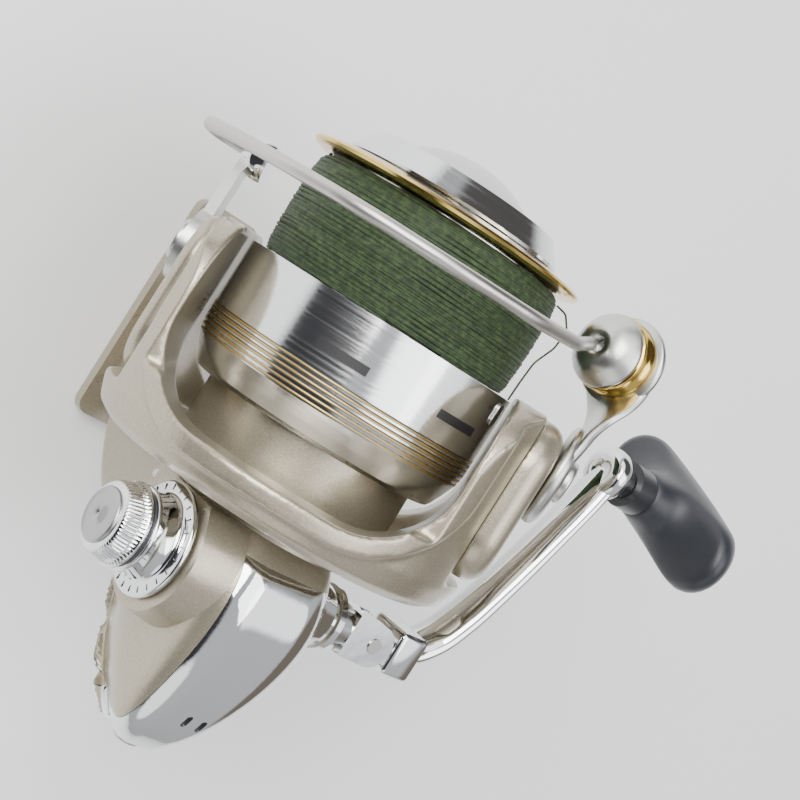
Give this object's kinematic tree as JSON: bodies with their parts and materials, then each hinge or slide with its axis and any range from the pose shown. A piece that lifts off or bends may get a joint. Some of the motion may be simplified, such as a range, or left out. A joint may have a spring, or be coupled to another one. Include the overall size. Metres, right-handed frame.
{
  "type": "spinning reel",
  "caption": "Front-drag spinning fishing reel with a folding crank handle, rotating bail and line-filled spool, on a flat rod foot.",
  "frame": {"origin": "centre of the foot's flat seat face, which lies on the rod", "axes": "+X to the handle side, +Y forward along the spool axis towards the rod's tip, +Z away from the rod, from the foot to the belly"},
  "size_m": [0.1305, 0.1165, 0.1045],
  "materials": {
    "champagne_paint": "pale gold metallic lacquer over aluminium, satin",
    "chrome": "bright plated",
    "satin_steel": "satin stainless",
    "spool_silver": "turned and clear anodised, satin to bright",
    "dome_silver": "polished and lacquered",
    "gold_anodised": "bright gold anodising",
    "braided_line": "dark green braid",
    "black_rubber": "satin black",
    "black_plastic": "satin black",
    "gear_brass": "machined",
    "gear_alloy": "die-cast zinc-aluminium",
    "grey_felt": "greased felt"
  },
  "bodies": {
    "root": {"body_housing": "champagne_paint", "side_cover": "champagne_paint", "rear_cover": "chrome", "rear_cover_screw": "satin_steel", "side_cover_screws": "satin_steel", "drive_bearings": "satin_steel", "clutch_housing": "black_plastic", "clutch_rollers": "satin_steel", "clutch_cover": "gear_alloy", "pinion_bearing": "satin_steel", "guide_rod": "satin_steel"},
    "anti_reverse": {"anti_reverse_lever": "chrome"},
    "drive": {"drive_gear": "gear_alloy", "drive_shaft": "gear_alloy", "handle_collar": "chrome", "fold_pin": "satin_steel"},
    "cap": {"cap_base": "chrome", "cap_seal": "black_rubber", "cap_knob": "chrome", "cap_face": "spool_silver", "cap_rod": "satin_steel"},
    "crank": {"handle_arm": "chrome", "knob_spindle": "chrome"},
    "knob": {"knob_grip": "black_rubber", "knob_collar": "black_plastic"},
    "rotor": {"rotor": "champagne_paint", "pinion_gear": "gear_brass", "clutch_sleeve": "satin_steel", "rotor_nut": "gear_brass", "nut_lock_plate": "satin_steel", "lock_screw": "satin_steel", "arm_cover_bail_side": "champagne_paint", "arm_cover_lever_side": "champagne_paint", "bail_pivot_screws": "satin_steel", "bail_spring": "satin_steel"},
    "trip": {"trip_lever": "gear_alloy"},
    "bail": {"bail_arm": "satin_steel", "bail_lever": "chrome", "bail_wire": "satin_steel", "wire_cup": "chrome", "roller_support": "chrome", "roller_screw": "satin_steel", "roller_bearing": "satin_steel"},
    "line_roller": {"line_roller": "gold_anodised"},
    "shaft": {"main_shaft": "satin_steel", "crosswind_slider": "gear_alloy", "click_gear": "black_plastic"},
    "oscillating_gear": {"oscillating_gear": "gear_alloy"},
    "spool": {"spool": "spool_silver", "spool_lip": "gold_anodised", "fishing_line": "braided_line", "line_clip": "satin_steel", "drag_washers": "satin_steel", "felt_washers": "grey_felt", "drag_retainer": "satin_steel", "line_tail": "braided_line"},
    "drag": {"drag_knob": "spool_silver", "drag_dome": "dome_silver", "drag_nut": "gear_brass", "drag_spring": "satin_steel"}
  },
  "joints": [
    {"name": "handle_turn", "type": "hinge", "parent": "root", "child": "drive", "pos_m": [0, -0.028, 0.0705], "axis": [1, 0, 0], "continuous": true},
    {"name": "rotor_turn", "type": "hinge", "parent": "root", "child": "rotor", "pos_m": [0, 0, 0.065], "axis": [0, 1, 0], "continuous": true},
    {"name": "oscillation_turn", "type": "hinge", "parent": "root", "child": "oscillating_gear", "pos_m": [0, -0.0355, 0.0578], "axis": [1, 0, 0], "continuous": true},
    {"name": "shaft_slide", "type": "slide", "parent": "root", "child": "shaft", "axis": [0, 1, 0], "range_m": [-0.0085, 0.0055]},
    {"name": "spool_slip", "type": "hinge", "parent": "shaft", "child": "spool", "pos_m": [0, 0, 0.065], "axis": [0, 1, 0], "continuous": true},
    {"name": "drag_turn", "type": "hinge", "parent": "shaft", "child": "drag", "pos_m": [0, 0.045, 0.065], "axis": [0, 1, 0], "continuous": true},
    {"name": "bail_swing", "type": "hinge", "parent": "rotor", "child": "bail", "pos_m": [0, 0.016, 0.065], "axis": [-0.766, 0, -0.6428], "range_deg": [0, 105]},
    {"name": "trip_swing", "type": "hinge", "parent": "rotor", "child": "trip", "pos_m": [0.02298, 0.009, 0.08428], "axis": [-0.766, 0, -0.6428], "range_deg": [0, 21]},
    {"name": "roller_spin", "type": "hinge", "parent": "bail", "child": "line_roller", "pos_m": [0.02937, 0.0393, 0.08834], "axis": [0.9781, 0, -0.2079], "continuous": true},
    {"name": "cap_turn", "type": "hinge", "parent": "drive", "child": "cap", "pos_m": [-0.02, -0.028, 0.0705], "axis": [1, 0, 0], "continuous": true},
    {"name": "handle_fold", "type": "hinge", "parent": "drive", "child": "crank", "pos_m": [0.03, -0.028, 0.0705], "axis": [0, 0, -1], "range_deg": [0, 75]},
    {"name": "knob_spin", "type": "hinge", "parent": "crank", "child": "knob", "pos_m": [0.068, 0.02136, 0.07421], "axis": [1, 0, 0], "continuous": true},
    {"name": "anti_reverse_swing", "type": "hinge", "parent": "root", "child": "anti_reverse", "pos_m": [-0.001, -0.05, 0.0495], "axis": [1, 0, 0], "range_deg": [0, 25]}
  ],
  "couplings": [
    {"joint": "rotor_turn", "follows": "handle_turn", "ratio": 4.7},
    {"joint": "oscillation_turn", "follows": "handle_turn", "ratio": -0.41667},
    {"joint": "trip_swing", "follows": "bail_swing", "ratio": 0.2}
  ]
}
